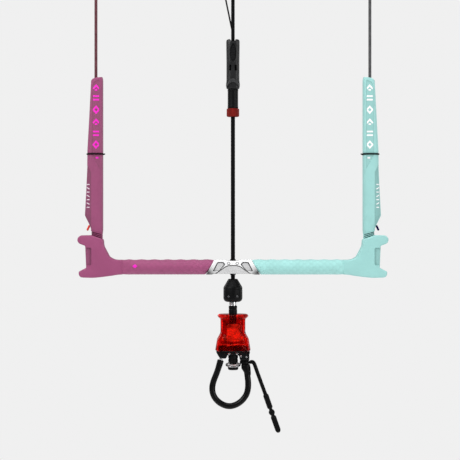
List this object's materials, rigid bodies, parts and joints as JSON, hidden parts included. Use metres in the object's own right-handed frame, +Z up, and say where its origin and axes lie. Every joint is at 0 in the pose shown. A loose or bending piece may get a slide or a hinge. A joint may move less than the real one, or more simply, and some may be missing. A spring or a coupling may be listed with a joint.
{
  "type": "kite control bar",
  "caption": "Kite control bar: a two-tone steering bar with foam floats slides on a depower line between a trim cleat and a swivel with push-away release and harness loop.",
  "frame": {"origin": "top of the eye of the centre (trim) line, where the flying line loops through it and the whole part hangs", "axes": "+Z up along the centre line, +X along the bar towards the turquoise half, -Y towards the front of the bar"},
  "size_m": [0.4988, 0.0404, 0.7317],
  "materials": {
    "black_rope": "matte",
    "black_shell": "satin",
    "steel": "polished",
    "red_bumper": "matte",
    "bush_plastic": "satin",
    "white_insert": "satin",
    "alloy_tube": "satin",
    "mauve_grip": "matte",
    "turquoise_grip": "matte",
    "mauve_bar_end": "matte",
    "turquoise_bar_end": "matte",
    "mauve_float": "matte",
    "turquoise_float": "matte",
    "brown_leader": "matte",
    "grey_leader": "matte",
    "red_tab": "matte",
    "navy_tab": "matte",
    "red_handle": "gloss",
    "loop_rubber": "satin",
    "finger_urethane": "satin"
  },
  "bodies": {
    "centre_line": {"depower_line": "black_rope", "trim_line": "black_rope", "trim_line_eye": "black_rope", "safety_line": "black_rope", "cleat_front": "black_shell", "cleat_back": "black_shell", "cleat_jaw": "steel", "cleat_sleeve": "black_shell", "bumper_ring": "red_bumper", "cleat_screw_upper": "steel", "cleat_screw_lower": "steel", "swivel_head": "black_shell", "swivel_bearing": "steel", "swivel_screw_left": "steel", "swivel_screw_right": "steel"},
    "line_guide": {"line_bush": "bush_plastic"},
    "bar": {"insert_front": "white_insert", "insert_back": "white_insert", "insert_bolt_left": "steel", "insert_bolt_right": "steel", "bar_tube_left": "alloy_tube", "bar_tube_right": "alloy_tube", "grip_left": "mauve_grip", "grip_right": "turquoise_grip", "float_neck_left": "mauve_bar_end", "float_neck_right": "turquoise_bar_end", "bar_end_left": "mauve_bar_end", "bar_end_right": "turquoise_bar_end", "bar_end_screw_left": "steel", "bar_end_screw_right": "steel", "leader_anchor_left": "brown_leader", "leader_anchor_right": "grey_leader"},
    "float_left": {"float_left": "mauve_float", "leader_inner_left": "brown_leader", "leader_left": "brown_leader", "bungee_left": "black_rope", "float_tab_left": "red_tab"},
    "float_right": {"float_right": "turquoise_float", "leader_inner_right": "grey_leader", "leader_right": "grey_leader", "bungee_right": "black_rope", "float_tab_right": "navy_tab"},
    "release_unit": {"swivel_shaft": "steel", "swivel_collar": "steel", "guide_tube": "black_shell", "release_body": "black_shell", "loop_hinge_pin": "steel", "release_screw_left": "steel", "release_screw_middle": "steel", "release_screw_right": "steel", "leash_post": "black_shell", "leash_post_cap": "black_shell", "release_spring": "steel"},
    "release_handle": {"release_handle": "red_handle"},
    "leash_ring": {"leash_ring": "steel"},
    "harness_loop": {"loop_tube": "loop_rubber", "loop_catch_pin": "steel", "loop_arm": "black_shell"},
    "locking_finger": {"finger_collar": "finger_urethane", "locking_finger": "finger_urethane"}
  },
  "joints": [
    {"name": "bar_slide", "type": "slide", "parent": "centre_line", "child": "line_guide", "axis": [0, 0, 1], "range_m": [-0.004, 0.216]},
    {"name": "bar_steer", "type": "hinge", "parent": "line_guide", "child": "bar", "pos_m": [0, 0, -0.465], "axis": [0, 1, 0], "range_deg": [-20, 20]},
    {"name": "float_flex_left", "type": "hinge", "parent": "bar", "child": "float_left", "pos_m": [-0.2185, 0, -0.414], "axis": [0, -1, 0], "range_deg": [-15, 15], "stiffness_Nm_per_rad": 2, "deforming": ["float_neck_left"]},
    {"name": "float_flex_right", "type": "hinge", "parent": "bar", "child": "float_right", "pos_m": [0.2185, 0, -0.414], "axis": [0, -1, 0], "range_deg": [-15, 15], "stiffness_Nm_per_rad": 2, "deforming": ["float_neck_right"]},
    {"name": "release_spin", "type": "hinge", "parent": "centre_line", "child": "release_unit", "pos_m": [0, 0, -0.525], "axis": [0, 0, 1], "continuous": true},
    {"name": "handle_push", "type": "slide", "parent": "release_unit", "child": "release_handle", "axis": [0, 0, 1], "range_m": [0, 0.016], "stiffness_N_per_m": 500, "springref_m": -0.01, "deforming": ["release_spring"]},
    {"name": "leash_ring_spin", "type": "hinge", "parent": "release_unit", "child": "leash_ring", "pos_m": [0.0003, 0, -0.6223], "axis": [0, 0, 1], "continuous": true},
    {"name": "loop_open", "type": "hinge", "parent": "release_unit", "child": "harness_loop", "pos_m": [0.0217, 0, -0.6089], "axis": [0, -1, 0], "range_deg": [0, 80]},
    {"name": "finger_swing", "type": "hinge", "parent": "harness_loop", "child": "locking_finger", "pos_m": [0.0189, 0, -0.621], "axis": [0, 0, 1], "range_deg": [-110, 110]}
  ]
}
